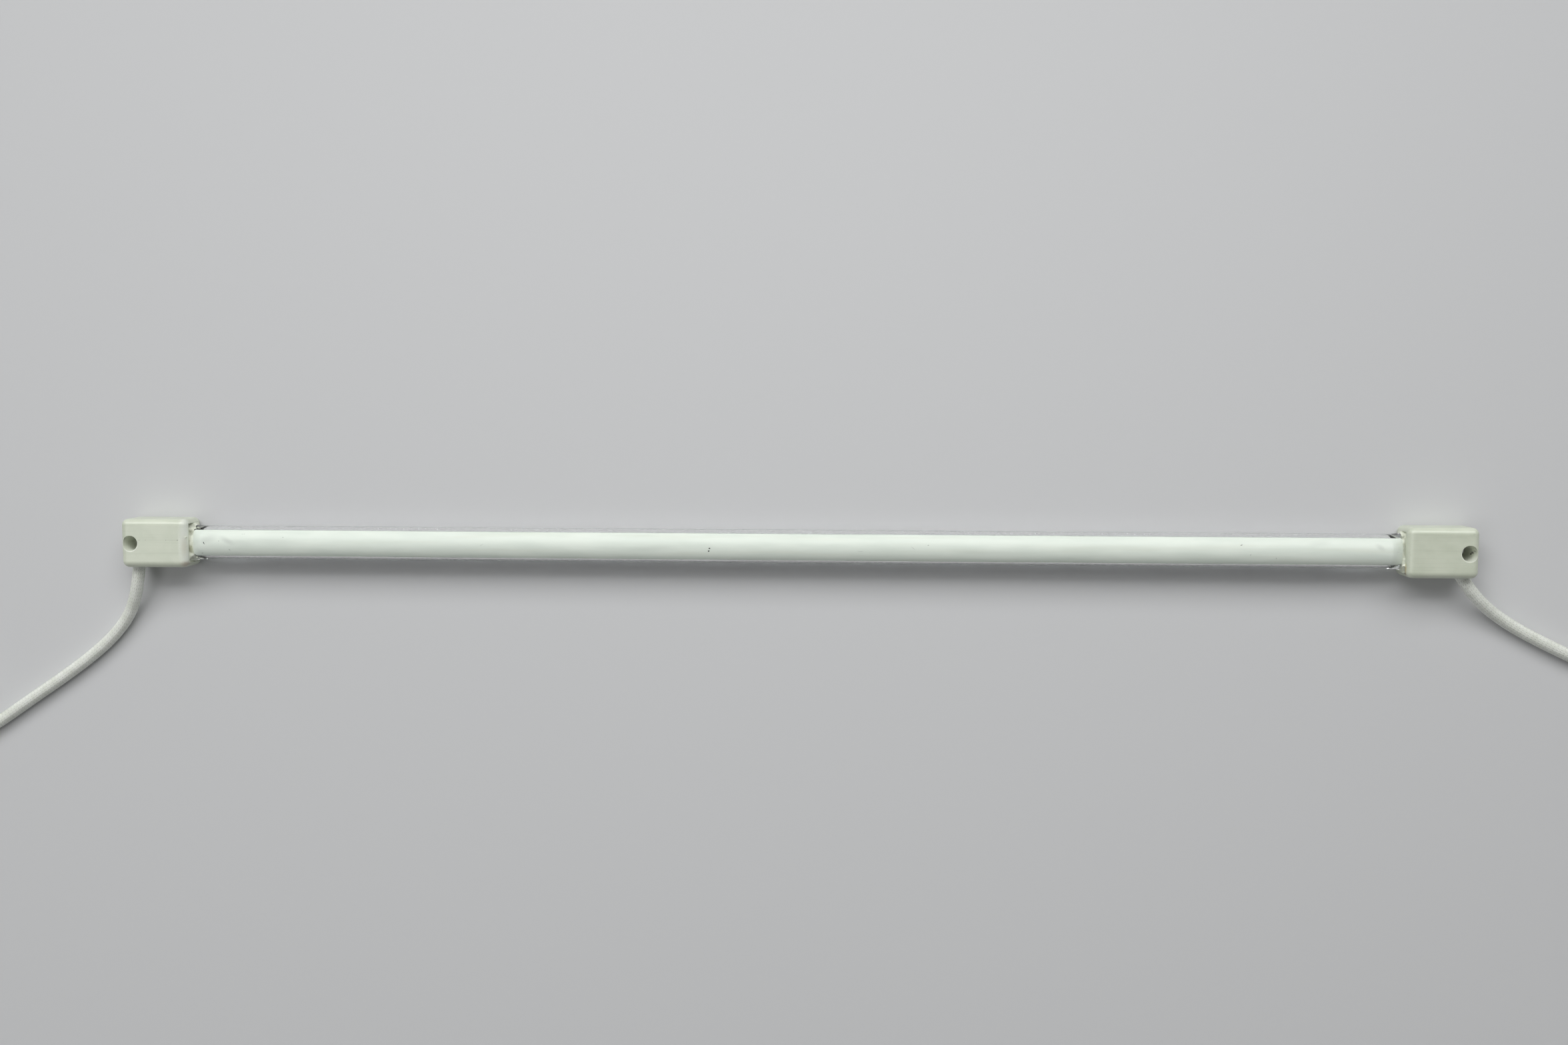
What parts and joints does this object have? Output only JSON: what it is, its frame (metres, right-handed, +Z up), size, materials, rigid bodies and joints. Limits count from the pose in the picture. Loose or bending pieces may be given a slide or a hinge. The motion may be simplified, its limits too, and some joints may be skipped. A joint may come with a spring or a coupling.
{
  "type": "infrared heating tube",
  "caption": "Straight clear quartz heating lamp with a white reflector coat along one side, ceramic end caps with mounting holes, and braided leads that leave the caps sideways.",
  "frame": {"origin": "midway between the end caps, on the plane of the caps' flat backs", "axes": "+X along the tube, +Z up through the reflector coat, -Y the side where the leads leave the caps"},
  "size_m": [0.5692, 0.0769, 0.011],
  "materials": {
    "clear_quartz": "clear, polished, a little dusty",
    "reflector_white": "matte, slightly uneven coat",
    "tungsten": "drawn wire, dark grey",
    "molybdenum": "satin",
    "nickel": "satin",
    "cap_ceramic": "matte, fine pressed texture",
    "cement": "rough, cream-coloured",
    "glass_braid": "braided glass fibre, off-white",
    "tie_tape": "woven tape",
    "tinned_metal": "tinned, crimped"
  },
  "bodies": {
    "root": {"quartz_tube": "clear_quartz", "reflector_coating": "reflector_white", "filament": "tungsten", "filament_support_01": "tungsten", "filament_support_02": "tungsten", "filament_support_03": "tungsten", "filament_support_04": "tungsten", "filament_support_05": "tungsten", "filament_support_06": "tungsten", "filament_support_07": "tungsten", "filament_support_08": "tungsten", "filament_support_09": "tungsten", "filament_support_10": "tungsten", "filament_support_11": "tungsten", "filament_support_12": "tungsten", "inner_lead_left": "tungsten", "seal_foil_left": "molybdenum", "outer_pin_left": "molybdenum", "weld_tab_left": "nickel", "lead_conductor_left": "nickel", "end_cap_left": "cap_ceramic", "cap_cement_left": "cement", "lead_left": "glass_braid", "lead_coil_left": "glass_braid", "coil_tie_left": "tie_tape", "lead_ferrule_left": "tinned_metal", "inner_lead_right": "tungsten", "seal_foil_right": "molybdenum", "outer_pin_right": "molybdenum", "weld_tab_right": "nickel", "lead_conductor_right": "nickel", "end_cap_right": "cap_ceramic", "cap_cement_right": "cement", "lead_right": "glass_braid", "lead_coil_right": "glass_braid", "coil_tie_right": "tie_tape", "lead_ferrule_right": "tinned_metal"}
  },
  "joints": []
}
